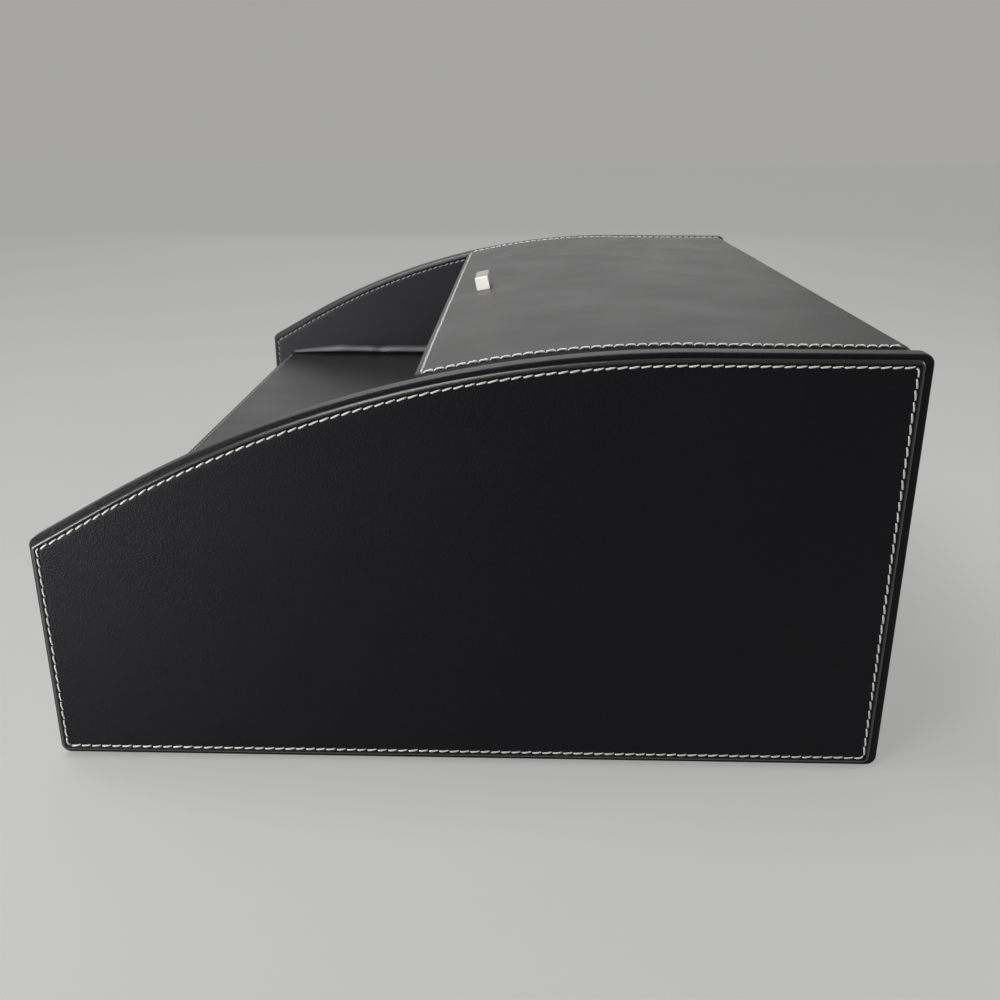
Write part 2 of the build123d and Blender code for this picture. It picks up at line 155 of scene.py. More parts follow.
ROLL_WAVE, ROLL_WAVE_LENGTH = 0.15, 22.0  # the same on a roll, as a share of its section
DRAWER_EDGE_ROUND = 1.2
DRAWER_STITCH = 4.6         # stitch line inside the drawer front's outline
DRAWER_FINE, DRAWER_RIM = 7.5, 9.0  # finely meshed strip, edge of the plain face
LINING_OUT, LINING_SHEET = 0.6, 0.55  # drawer front's lining: face off the board, thickness
HEM_OUT, HEM_SHEET = 0.9, 0.85  # the same for the leather's hem above it
HEM_DROP, HEM_END = 0.25, 0.6  # hem below the leather's top and inside its ends
SHEET_GAP = 0.1             # play between the lining and what bounds it
HEM_GAP = 0.3               # hem above the drawer's sides

# ---- mesh density
CORNER_STEPS = 6
FLAT_STEPS, ARC_STEPS, SLOPE_STEPS = 28, 80, 12
LENGTH_STEPS = FLAT_STEPS + ARC_STEPS + SLOPE_STEPS
HEIGHT_STEPS = 46
LID_LENGTH_STEPS, LID_WIDTH_STEPS = 64, 110
DRAWER_STEPS = 100, 14      # along and up the drawer front
SHEET_STEPS = 8             # across a plain sheet
ROUND_STEPS = 6             # round a small fold

# ---- camera
CAMERA_PLACE = Vector((0.5981, 0.0228, 0.2569))
CAMERA_YAW = radians(1.265)
CAMERA_PITCH = radians(19.937)
CAMERA_ROLL = radians(0.215)
CAMERA_LENS, SENSOR_WIDTH = 37.107, 36


def span(node):
    """Lowest and highest corner of a node in millimetres."""
    low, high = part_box(node)
    return np.array(low) / MM, np.array(high) / MM


wrap_low, wrap_high = span("right_edge_wrap")
skin_low, skin_high = span("right_outer_skin")
deck_low, deck_high = span("deck_skin")
lid_low, lid_high = span("lid_skin")
back_low, back_high = span("back_skin")
front_low, front_high = span("drawer_front_skin")

FRONT, REAR = wrap_low[1], wrap_high[1]
FOOT, HEIGHT = wrap_low[2], wrap_high[2]
BOARD_FACE, SKIN_FACE = wrap_low[0], wrap_high[0]
OUTER_FACE = skin_high[0]
INNER_FACE = span("right_inner_skin")[0][0]
SKIN_INSETS = (skin_low[1] - FRONT, REAR - skin_high[1], skin_low[2] - FOOT,
               HEIGHT - skin_high[2])
DECK_FRONT, DECK_TOP, DECK_UNDER = deck_low[1], deck_high[2], deck_low[2]
LID_FRONT, LID_REAR = lid_low[1], lid_high[1]
LID_HALF, LID_UNDER = lid_high[0], back_high[2] + HINGE_GAP
LID_WALL = HEIGHT - LID_UNDER + LID_PLAY
LID_LOW = LID_UNDER - LID_PLAY
FOLD_Y = LID_REAR - LID_FOLD
PULL_Y = (span("lid_pull")[0][1] + span("lid_pull")[1][1]) / 2
FLAT_START = REAR - FLAT_LENGTH
ARC_Z = HEIGHT - TOP_RADIUS


# ======== outlines
def line(start, end, steps):
    """Points from start towards end, without end."""
    share = np.arange(steps)[:, None] / steps
    return np.array(start) + share * (np.array(end) - np.array(start))


def bend(centre, radius, start, end, steps):
    """Points round an arc between two angles in degrees, without the last."""
    angle = np.radians(start + (end - start) * np.arange(steps) / steps)
    return np.array(centre) + radius * np.stack((np.cos(angle), np.sin(angle)), axis=1)


def top_height(y, inset=0.0):
    """Height of the top curve, or of the curve lying inset below it."""
    y = np.asarray(y, float)
    radius = TOP_RADIUS - inset
    arc_start = FLAT_START - radius * sin(TOP_SLOPE)
    on_slope = ARC_Z + radius * cos(TOP_SLOPE) - (arc_start - y) * tan(TOP_SLOPE)
    on_arc = ARC_Z + np.sqrt(radius**2 - np.clip(y - FLAT_START, -0.9 * radius, 0) ** 2)
    return np.where(y < arc_start, on_slope, on_arc)


def side_loop(insets, deeper=0.0, corner=CORNER_RADIUS):
    """Closed outline of a side as (y, z), from the front of its bottom edge to the rear,
    up, forward along the top curve and down. insets are front, rear, bottom and top."""
    front, rear, bottom, top = (inset + deeper for inset in insets)
    radius = max(corner - deeper, 0.0)
    y0, y1 = FRONT + front, REAR - rear
    z0, z1 = FOOT + bottom, HEIGHT - top
    arc_radius = TOP_RADIUS - top
    slope_end = degrees(TOP_SLOPE) + 90
    low_y = y0 + radius
    low_z = float(top_height(low_y, top)) - radius / cos(TOP_SLOPE)
    arc_end = (FLAT_START - arc_radius * sin(TOP_SLOPE), ARC_Z + arc_radius * cos(TOP_SLOPE))
    slope_low = (low_y - radius * sin(TOP_SLOPE), low_z + radius * cos(TOP_SLOPE))
    return np.concatenate((
        line((y0 + radius, z0), (y1 - radius, z0), LENGTH_STEPS),
        bend((y1 - radius, z0 + radius), radius, -90, 0, CORNER_STEPS),
        line((y1, z0 + radius), (y1, z1 - radius), HEIGHT_STEPS),
        bend((y1 - radius, z1 - radius), radius, 0, 90, CORNER_STEPS),
        line((y1 - radius, z1), (FLAT_START, z1), FLAT_STEPS),
        bend((FLAT_START, ARC_Z), arc_radius, 90, slope_end, ARC_STEPS),
        line(arc_end, slope_low, SLOPE_STEPS),
        bend((low_y, low_z), radius, slope_end, 180, CORNER_STEPS),
        line((y0, low_z), (y0, z0 + radius), HEIGHT_STEPS),
        bend((y0 + radius, z0 + radius), radius, 180, 270, CORNER_STEPS),
    ))


def wave(point, length, seed=0.0):
    """Smooth unevenness from -1 to 1 at a point."""
    return noise.noise(Vector(point) / length + Vector((seed, 0.37 * seed, 1.3)))


def dip(distance):
    """Depth of the leather pulled in near a stitch line."""
    return STITCH_DIP * np.exp(-((distance / STITCH_DIP_WIDTH) ** 2))


# ======== meshes
class Shell:
    """Points in millimetres, and the faces between them."""

    def __init__(self):
        self.points = []
        self.faces = []

    def add(self, rows, closed_rows=False, closed_stack=False):
        """Quads between neighbouring rows of points."""
        rows = np.asarray(rows, float)
        start = len(self.points)
        count, width = rows.shape[:2]
        self.points.extend(rows.reshape(-1, 3).tolist())
        for r in range(count if closed_stack else count - 1):
            here = start + r * width
            there = start + (r + 1) % count * width
            for c in range(width if closed_rows else width - 1):
                d = (c + 1) % width
                self.faces.append((here + c, here + d, there + d, there + c))

    def cap(self, row):
        """One flat face on a closed row."""
        start = len(self.points)
        self.points.extend(np.asarray(row, float).tolist())
        self.faces.append(tuple(range(start, len(self.points))))

    def tube(self, rows):
        """Closed rows with both ends capped."""
        self.add(rows, closed_rows=True)
        self.cap(rows[0])
        self.cap(rows[-1])

    def piece(self, name, material, thickness=0.0, crease=38.0, edge=None,
              edge_faces=0):
        """Object made from the points, smooth apart from its creases. Its first edge_faces
        faces take the material given as edge, if there is one."""
        mesh = bpy.data.meshes.new(name)
        mesh.from_pydata((np.array(self.points) * MM).tolist(), [], self.faces)
        for face in mesh.polygons[:edge_faces if edge else 0]:
            face.material_index = 1
        shape = bmesh.new()
        shape.from_mesh(mesh)
        bmesh.ops.remove_doubles(shape, verts=shape.verts, dist=0.002 * MM)
        bmesh.ops.recalc_face_normals(shape, faces=shape.faces)
        shape.to_mesh(mesh)
        shape.free()
        made = bpy.data.objects.new(name, mesh)
        bpy.context.scene.collection.objects.link(made)
        if thickness:
            thicken(made, thickness)
        made.data.shade_smooth()
        made.data.set_sharp_from_angle(angle=radians(crease))
        made.data.materials.append(material)
        if edge:
            made.data.materials.append(edge)
        return made


def thicken(made, thickness):
    """Give a leather sheet its thickness, inward from its outer face."""
    solidify = made.modifiers.new("thickness", "SOLIDIFY")
    solidify.thickness = thickness * MM
    solidify.offset = -1
    bpy.context.view_layer.update()
    graph = bpy.context.evaluated_depsgraph_get()
    thick = bpy.data.meshes.new_from_object(made.evaluated_get(graph))
    made.modifiers.clear()
    made.data = thick


def at_x(outline, x):
    """Outline points (y, z) set at x, which is one value or one for each point."""
    outline = np.asarray(outline)
    return np.column_stack((np.broadcast_to(x, len(outline)), outline))


def at_y(outline, y):
    """Outline (x, z) as points (x, y, z)."""
    return np.column_stack((outline[:, 0], np.full(len(outline), y), outline[:, 1]))


# ======== materials
def material_tree(name):
    """New material, its node tree and its shader."""
    material = bpy.data.materials.new(name)
    material.use_nodes = True
    tree = material.node_tree
    return material, tree, tree.nodes["Principled BSDF"]


def fill(node, **values):
    """Set a node's sockets by name."""
    for key, value in values.items():
        node.inputs[key.replace("_", " ")].default_value = value


def feed(node, socket, output):
    """Link an output to a socket of a node."""
    node.id_data.links.new(output, node.inputs[socket])


def add_node(tree, kind, settings=None, **values):
    """Node with its settings, and the values of its sockets by name."""
    node = tree.nodes.new(kind)
    for key, value in (settings or {}).items():
        setattr(node, key, value)
    fill(node, **values)
    return node


def noise_node(tree, where, size, detail=3.0, roughness=0.55):
    """Noise whose features are about size millimetres wide."""
    made = add_node(tree, "ShaderNodeTexNoise", Scale=1 / (size * MM), Detail=detail,
                    Roughness=roughness)
    feed(made, "Vector", where)
    return made.outputs["Fac"]


def ramp(tree, fac, low, high, from_low=0.3, from_high=0.7):
    """Number between low and high, following a noise."""
    made = add_node(tree, "ShaderNodeMapRange", {"clamp": True}, From_Min=from_low,
                    From_Max=from_high, To_Min=low, To_Max=high)
    feed(made, "Value", fac)
    return made.outputs["Result"]


def mixed_colour(tree, fac, first, second):
    """Colour between first and second."""
    made = add_node(tree, "ShaderNodeMix", {"data_type": "RGBA"}, A=(*first, 1), B=(*second, 1))
    feed(made, "Factor", fac)
    return made.outputs["Result"]


def sum_of(tree, first, second, weight):
    """first + weight * second."""
    made = add_node(tree, "ShaderNodeMath", {"operation": "MULTIPLY_ADD"})
    feed(made, 0, second)
    made.inputs[1].default_value = weight
    feed(made, 2, first)
    return made.outputs[0]


def bump(tree, shader, height, depth):
    """Relief of the given depth in millimetres."""
    made = add_node(tree, "ShaderNodeBump", Strength=1.0, Distance=depth * MM)
    feed(made, "Height", height)
    feed(shader, "Normal", made.outputs["Normal"])


def own_place(tree, stretch=(1, 1, 1)):
    """The object's own coordinates, in metres."""
    place = add_node(tree, "ShaderNodeTexCoord")
    mapping = add_node(tree, "ShaderNodeMapping", Scale=stretch)
    feed(mapping, "Vector", place.outputs["Object"])
    return mapping.outputs["Vector"]


def leather(name, rough, grain, depth, tone=0.010, gloss=0.5, blue=1.07, coat=0.0):
    """Black leather: pebbled grain of that size and depth, fine pores, faint mottling of tone
    and gloss. tone is its mean colour, and blue the share of blue in it."""
    material, tree, shader = material_tree(name)
    where = own_place(tree)
    cells = add_node(tree, "ShaderNodeTexVoronoi", {"feature": "SMOOTH_F1"},
                     Scale=1 / (grain * MM), Smoothness=0.6)
    feed(cells, "Vector", where)
    creases = noise_node(tree, where, 2.6 * grain, 4.0)
    pores = noise_node(tree, where, 0.35 * grain, 2.0)
    mottle = noise_node(tree, where, 38.0, 3.0)
    height = sum_of(tree, cells.outputs["Distance"], creases, 0.4)
    bump(tree, shader, sum_of(tree, height, pores, 0.25), depth)
    dark = (tone * 0.72, tone * 0.72, tone * 0.72 * blue)
    light = (tone * 1.25, tone * 1.25, tone * 1.25 * blue)
    feed(shader, "Base Color", mixed_colour(tree, mottle, dark, light))
    feed(shader, "Roughness", ramp(tree, mottle, *rough))
    fill(shader, Specular_IOR_Level=gloss, Coat_Weight=coat, Coat_Roughness=0.28)
    return material


def plain_material(name, grain, dark, light, depth, rough=None, **values):
    """Material of one noise, whose size, detail and roughness are grain. It sets the colour,
    the relief and, where rough is a pair, the roughness. values are other sockets."""
    material, tree, shader = material_tree(name)
    fibres = noise_node(tree, own_place(tree), *grain)
    feed(shader, "Base Color", mixed_colour(tree, fibres, dark, light))
    if rough:
        feed(shader, "Roughness", ramp(tree, fibres, *rough))
    fill(shader, **values)
    bump(tree, shader, fibres, depth)
    return material


def thread_material(name, dark, light):
    """Spun thread between two colours."""
    return plain_material(name, (0.22, 3.0), dark, light, 0.05, Roughness=0.62, Sheen_Weight=0.25)


def board_material(name, dark, light, grain):
    """Fibreboard, bare or covered."""
    return plain_material(name, (grain, 5.0, 0.65), dark, light, 0.08, Roughness=0.8)


def suede_material(name, tone):
    """Short nap, stroked this way and that."""
    material, tree, shader = material_tree(name)
    where = own_place(tree)
    nap = noise_node(tree, where, 0.5, 4.0, 0.7)
    strokes = noise_node(tree, where, 24.0, 3.0)
    both = ramp(tree, sum_of(tree, nap, strokes, 0.8), 0.0, 1.0, 0.5, 1.3)
    dark = (tone * 0.7, tone * 0.7, tone * 0.72)
    light = (tone * 1.4, tone * 1.4, tone * 1.45)
    feed(shader, "Base Color", mixed_colour(tree, both, dark, light))
    fill(shader, Roughness=0.95, Sheen_Weight=0.35)
    bump(tree, shader, nap, 0.15)
    return material


def nickel_material():
    """Satin nickel, brushed along the bar; its rougher ends are painted lighter: painted
    highlight.
    """
    material, tree, shader = material_tree("satin_nickel")
    brushed = noise_node(tree, own_place(tree, (1, 14, 14)), 5.0, 4.0)
    place = add_node(tree, "ShaderNodeTexCoord")
    facing = add_node(tree, "ShaderNodeSeparateXYZ")
    feed(facing, "Vector", place.outputs["Normal"])
    # Faces across the bar's ends get a much lighter colour: painted highlight.
    highlight_facing = add_node(tree, "ShaderNodeMath", {"operation": "ABSOLUTE"})
    feed(highlight_facing, 0, facing.outputs["X"])
    ends = ramp(tree, highlight_facing.outputs["Value"], 0.0, 1.0, 0.6, 0.8)
    colour = add_node(tree, "ShaderNodeMix", {"data_type": "RGBA"}, B=(0.92, 0.90, 0.855, 1))
    feed(colour, "Factor", ends)
    feed(colour, "A", mixed_colour(tree, brushed, (0.46, 0.45, 0.43), (0.54, 0.53, 0.51)))
    feed(shader, "Base Color", colour.outputs["Result"])
    feed(shader, "Roughness", sum_of(tree, ramp(tree, brushed, 0.44, 0.54), ends, 0.22))
    fill(shader, Metallic=1.0)
    bump(tree, shader, brushed, 0.02)
    return material


# Much darker, duller, bluish copy of the one leather, for the outer skins and other outer faces:
# painted shade.
SHADED_LEATHER = leather("skin_leather", (0.42, 0.50), 0.55, 0.18, tone=0.0014, gloss=0.18,
                       blue=2.2)
# Lighter, bluer copy of the one leather, for the inner skins: painted light and painted
# reflection.
LIT_INNER_LEATHER = leather("inner_leather", (0.42, 0.50), 0.8, 0.05, tone=0.0075, gloss=0.42,
                        blue=1.6)
TOP_LEATHER = leather("top_leather", (0.39, 0.46), 0.8, 0.08, tone=0.010, gloss=0.6)
EDGE_LEATHER = leather("edge_leather", (0.38, 0.46), 0.8, 0.05, tone=0.010, gloss=0.7)
BEAD_LEATHER = leather("burnished_leather", (0.30, 0.38), 0.6, 0.05, tone=0.003, gloss=0.5,
                       blue=1.3, coat=0.35)
ROLL_LEATHER = leather("roll_leather", (0.38, 0.46), 0.8, 0.08, tone=0.009, gloss=0.6, blue=1.5)
THREAD = thread_material("white_thread", (0.42, 0.41, 0.385), (0.74, 0.73, 0.70))
# Lighter copy of the white thread, for the lid's side rows: painted light.
LIT_LID_THREAD = thread_material("lit_lid_thread", (0.60, 0.59, 0.56), (0.90, 0.89, 0.86))
# Darker copy of the white thread, for the inner, deck and lid front rows: painted shade.
SHADED_THREAD = thread_material("shaded_thread", (0.27, 0.27, 0.255), (0.45, 0.45, 0.43))
SUEDE = suede_material("charcoal_suede", 0.030)
NICKEL = nickel_material()
STEEL = plain_material("zinc_plated_steel", (1.8, 4.0), (0.46, 0.47, 0.48), (0.66, 0.67, 0.68),
                       0.02, rough=(0.28, 0.46), Metallic=1.0)
CORE_BOARD = board_material("fibreboard", (0.16, 0.11, 0.07), (0.30, 0.22, 0.15), 1.4)
DRAWER_BOARD = board_material("black_covered_board", (0.010, 0.010, 0.011),
                              (0.022, 0.022, 0.023), 0.8)
FELT = plain_material("black_felt", (0.7, 5.0, 0.75), (0.006, 0.006, 0.007),
                      (0.026, 0.026, 0.028), 0.3, Roughness=1.0, Sheen_Weight=0.3)


def dress(names, material):
    """Give CAD nodes that stay in view their finish."""
    for name in names:
        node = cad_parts[name]
        if not node.material_slots:
            node.data.materials.append(material)
        for slot in node.material_slots:
            slot.material = material


# ======== side panels
def skin_levels(thickness):
    """How far in from its edge, and how high above its back, a skin's bead and rim go."""
    turn = np.radians(np.linspace(0, 90, 9))
    round_off = min(BEAD, thickness - BEAD_FLANK)
    flank = thickness - round_off
    bead = [(0.0, 0.0)] + [(round_off * (1 - cos(a)), flank + round_off * sin(a)) for a in turn]
    flat = np.concatenate((np.arange(round_off + 0.3, 5.0, 0.3), np.linspace(5.2, SKIN_RIM, 3)))
    return bead, [(d, thickness - float(dip(d - STITCH_INSET))) for d in flat]


def skin(name, side, base, direction, thickness, material, edge=None):
    """Skin glued on a side board: beaded rim, stitch channel and a faintly uneven panel."""
    corner = CORNER_RADIUS - SKIN_INSETS[0]
    shell = Shell()

    def x_of(rise):
        return side * (base + direction * rise)

    bead, rim = skin_levels(thickness)
    rows = [at_x(side_loop(SKIN_INSETS, d, corner), x_of(rise)) for d, rise in bead + rim]
    shell.add(rows, closed_rows=True)
    bead_faces = (len(bead) - 1) * len(rows[0])
    shell.cap(rows[0])
    last = side_loop(SKIN_INSETS, SKIN_RIM, corner)
    top_at = LENGTH_STEPS + 2 * CORNER_STEPS + HEIGHT_STEPS
    bottom = last[:LENGTH_STEPS + 1]
    top = last[top_at:top_at + LENGTH_STEPS + 1][::-1]
    share = np.linspace(0, 1, HEIGHT_STEPS + 1)[:, None, None]
    panel = bottom + share * (top - bottom)
    grid = np.empty((*panel.shape[:2], 3))
    for r in range(HEIGHT_STEPS + 1):
        for c in range(LENGTH_STEPS + 1):
            y, z = panel[r, c]
            from_rim = min(r, HEIGHT_STEPS - r, 3, c, LENGTH_STEPS - c) / 3
            uneven = PANEL_WAVE * from_rim * (wave((0, y, z), PANEL_WAVE_LENGTH, side) - 0.4)
            grid[r, c] = (x_of(thickness + uneven), y, z)
    shell.add(grid)
    return shell.piece(name, material, edge=edge, edge_faces=bead_faces)


def round_edge(face, inward, radius, depth=0.0):
    """Quarter round between a face at x and an edge lying depth inside the outline, as (x,
    inset) from the face to the edge. inward is the direction of x from the face."""
    turn = np.radians(np.linspace(0, 90, ROUND_STEPS))
    return [(face + inward * radius * (1 - cos(a)), depth + radius * (1 - sin(a))) for a in turn]


def section_rows(section, side):
    """Outlines of a side at each (x, inset) of a section."""
    return [at_x(side_loop((0, 0, 0, 0), inset), side * x) for x, inset in section]


def wrap_inside():
    """Inside of the edge band as (x, inset), from under the inner skin to under the outer."""
    deep, soft = WRAP_THICKNESS, WRAP_INNER_ROUND - WRAP_THICKNESS
    return [(BOARD_FACE, WRAP_TUCK), (BOARD_FACE + deep, WRAP_TUCK),
            *round_edge(BOARD_FACE + deep, 1, soft, deep),
            (SKIN_FACE - deep, deep), (SKIN_FACE - deep, WRAP_TUCK)]


def edge_band(name, side):
    """Leather band folded round a side board's edge, tucked under both skins. Its outermost
    strip takes the outer skin's darker, duller leather: painted shade."""
    rows = section_rows([
        (SKIN_FACE, WRAP_TUCK),
        *round_edge(SKIN_FACE, -1, WRAP_OUTER_ROUND),
        *round_edge(BOARD_FACE, 1, WRAP_INNER_ROUND)[::-1],
        *wrap_inside(),
    ], side)
    shell = Shell()
    shell.add(rows, closed_rows=True, closed_stack=True)
    return shell.piece(name, EDGE_LEATHER, edge=SHADED_LEATHER,
                       edge_faces=SHADED_ROWS * len(rows[0]))


def side_core(name, side):
    """Board inside the band and the skins, cut back under the band's leather."""
    shell = Shell()
    shell.tube(section_rows([(SKIN_FACE, WRAP_TUCK), *wrap_inside()[::-1]], side))
    return shell.piece(name, CORE_BOARD)


# ======== thread
def stitches(name, path, normals, seed, closed=False, reach=STITCH_LENGTH,
             thick=STITCH_RADIUS, thread=THREAD):
    """Row of stitches along a path on leather. On a loop that runs anticlockwise, seen from
    outside, each stitch starts outside the line and ends inside it."""
    path = np.asarray(path, float)
    normals = np.broadcast_to(np.asarray(normals, float), path.shape)
    if closed:
        path = np.vstack((path, path[:1]))
        normals = np.vstack((normals, normals[:1]))
    along = np.concatenate(([0], np.cumsum(np.linalg.norm(np.diff(path, axis=0), axis=1))))
    total = along[-1]
    count = round(total / STITCH_PITCH)
    dice = np.random.default_rng(SEED + seed)
    share = np.linspace(-1, 1, STITCH_RINGS)
    angles = np.arange(STITCH_SIDES) * 2 * pi / STITCH_SIDES
    shell = Shell()
    for index in range(count):
        length = reach * dice.uniform(0.96, 1.03)
        lean = STITCH_SLANT * dice.uniform(0.8, 1.2)
        aside = dice.uniform(-0.06, 0.06)
        crest = STITCH_CREST * dice.uniform(0.88, 1.12)
        stop = (index + 0.5) * total / count + share * length / 2
        stop = stop % total if closed else np.clip(stop, 0, total)
        spine = np.stack([np.interp(stop, along, path[:, k]) for k in range(3)], axis=1)
        up = np.stack([np.interp(stop, along, normals[:, k]) for k in range(3)], axis=1)
        up /= np.linalg.norm(up, axis=1)[:, None]
        ahead = np.gradient(spine, axis=0)
        ahead /= np.linalg.norm(ahead, axis=1)[:, None] + 1e-9
        inside = np.cross(up, ahead)
        height = crest - (crest + STITCH_DIVE) * np.abs(share) ** 4
        spine = spine + inside * (aside + lean * share)[:, None] + up * height[:, None]
        radius = thick * (0.9 + 0.1 * share) * (1 - 0.3 * share**8)
        rings = []
        for ring in range(STITCH_RINGS):
            ply = 1 + PLY_RELIEF * np.cos(2 * (angles - PLY_TURN * share[ring]))
            spread = radius[ring] * ply
            rings.append(spine[ring] + (spread * np.cos(angles))[:, None] * inside[ring]
                         + (spread * np.sin(angles))[:, None] * up[ring])
        shell.tube(rings)
    return shell.piece(name, thread, crease=ROUND_CREASE)


def outer_stitches(name, side, seed):
    """Closed row inside an outer skin's edge."""
    loop = side_loop(SKIN_INSETS, STITCH_INSET, CORNER_RADIUS)
    path = at_x(loop, side * (OUTER_FACE - STITCH_DIP))
    path = path[::-1] if side < 0 else path
    return stitches(name, path, (side, 0, 0), seed, closed=True)


def inner_stitches(name, side, seed):
    """Row along the front and the top of an inner skin; its other edges are covered."""
    loop = side_loop(SKIN_INSETS, STITCH_INSET, CORNER_RADIUS)
    top_at = LENGTH_STEPS + 2 * CORNER_STEPS + HEIGHT_STEPS
    shown = loop[top_at:top_at + LENGTH_STEPS + CORNER_STEPS + HEIGHT_STEPS]
    shown = shown[shown[:, 0] < back_low[1] - INNER_ROW_END]
    path = at_x(shown, side * (INNER_FACE + STITCH_DIP))
    path = path[::-1] if side > 0 else path
    return stitches(name, path, (-side, 0, 0), seed, reach=INNER_STITCH_LENGTH,
                    thread=SHADED_THREAD)


# ======== lid and back leather
def lid_top(x, y):
    """Height of the lid's leather: a little full, drawn in at the stitches, lower at its edges."""
    x, y = np.broadcast_arrays(np.asarray(x, float), np.asarray(y, float))
    from_side, from_front = LID_HALF - np.abs(x), y - LID_FRONT
    run = np.clip(from_front / (FLAT_START + LID_RISE_RUN - LID_FRONT), 0, 1)
    rise = LID_RISE_FRONT + (LID_RISE_REAR - LID_RISE_FRONT) * run
    across = 1 - (x / LID_HALF) ** 2
    starts = np.clip(from_front / LID_CROWN_RUN, 0, 1)
    ends = np.clip((LID_REAR - y) / LID_CROWN_RUN, 0, 1)
    rise = rise + LID_CROWN * across * (starts * ends)
    from_corner = from_side**2 + from_front**2
    rise = rise - LID_DROOP * np.exp(-(from_corner / LID_DROOP_REACH**2))
    far = np.sqrt((x / PULL_DENT_STRETCH) ** 2 + (y - PULL_Y) ** 2)
    rise = rise * (1 - np.exp(-((far / PULL_DENT) ** 2)))
    side_fall = LID_SIDE_FALL * np.clip(1 - from_side / LID_STITCH_SIDE, 0, 1)**LID_SIDE_FALL_POWER
    front_fall = LID_FRONT_FALL * np.clip(1 - from_front / LID_STITCH_FRONT, 0, 1)**2
    rise = rise - np.maximum(side_fall, front_fall)
    side_dip = dip(from_side - LID_STITCH_SIDE)
    front_dip = dip(from_front - LID_STITCH_FRONT)
    rise = rise - np.where(from_front > LID_STITCH_FRONT - LID_CHANNEL_CROSS, side_dip, 0)
    beside = from_side > LID_STITCH_SIDE - LID_CHANNEL_CROSS
    rise = rise - np.where(beside, front_dip, 0) * LID_FRONT_DIP
    return top_height(y) + rise


def lid_ring(deeper):
    """Open outline (x, y) of the lid's sides and front, seen from above."""
    radius = max(LID_CORNER - deeper, 0.0)
    x, front, rear = LID_HALF - deeper, LID_FRONT + deeper, FOLD_Y
    return np.concatenate((
        line((-x, rear), (-x, front + radius), LID_LENGTH_STEPS),
        bend((-x + radius, front + radius), radius, 180, 270, CORNER_STEPS),
        line((-x + radius, front), (x - radius, front), LID_WIDTH_STEPS),
        bend((x - radius, front + radius), radius, 270, 360, CORNER_STEPS),
        line((x, front + radius), (x, rear), LID_LENGTH_STEPS),
        [(x, rear)],
    ))


def lid_levels():
    """How far in from the lid's edge, and how far below its top, the leather goes."""
    wall = [(LID_TURN_IN, LID_WALL), (1.2, LID_WALL), (0.35, LID_WALL - 0.1),
            (0.0, LID_WALL - 0.7), (0.0, 6.0), (0.0, 3.0)]
    turn = np.radians(np.linspace(0, 90, 7))
    edge = [(LID_EDGE_ROUND * (1 - cos(a)), LID_EDGE_ROUND * (1 - sin(a))) for a in turn]
    flat = np.concatenate((np.arange(LID_EDGE_ROUND + 0.35, 6.4, 0.35), (7.5, LID_RIM)))
    return wall + edge + [(d, 0.0) for d in flat]


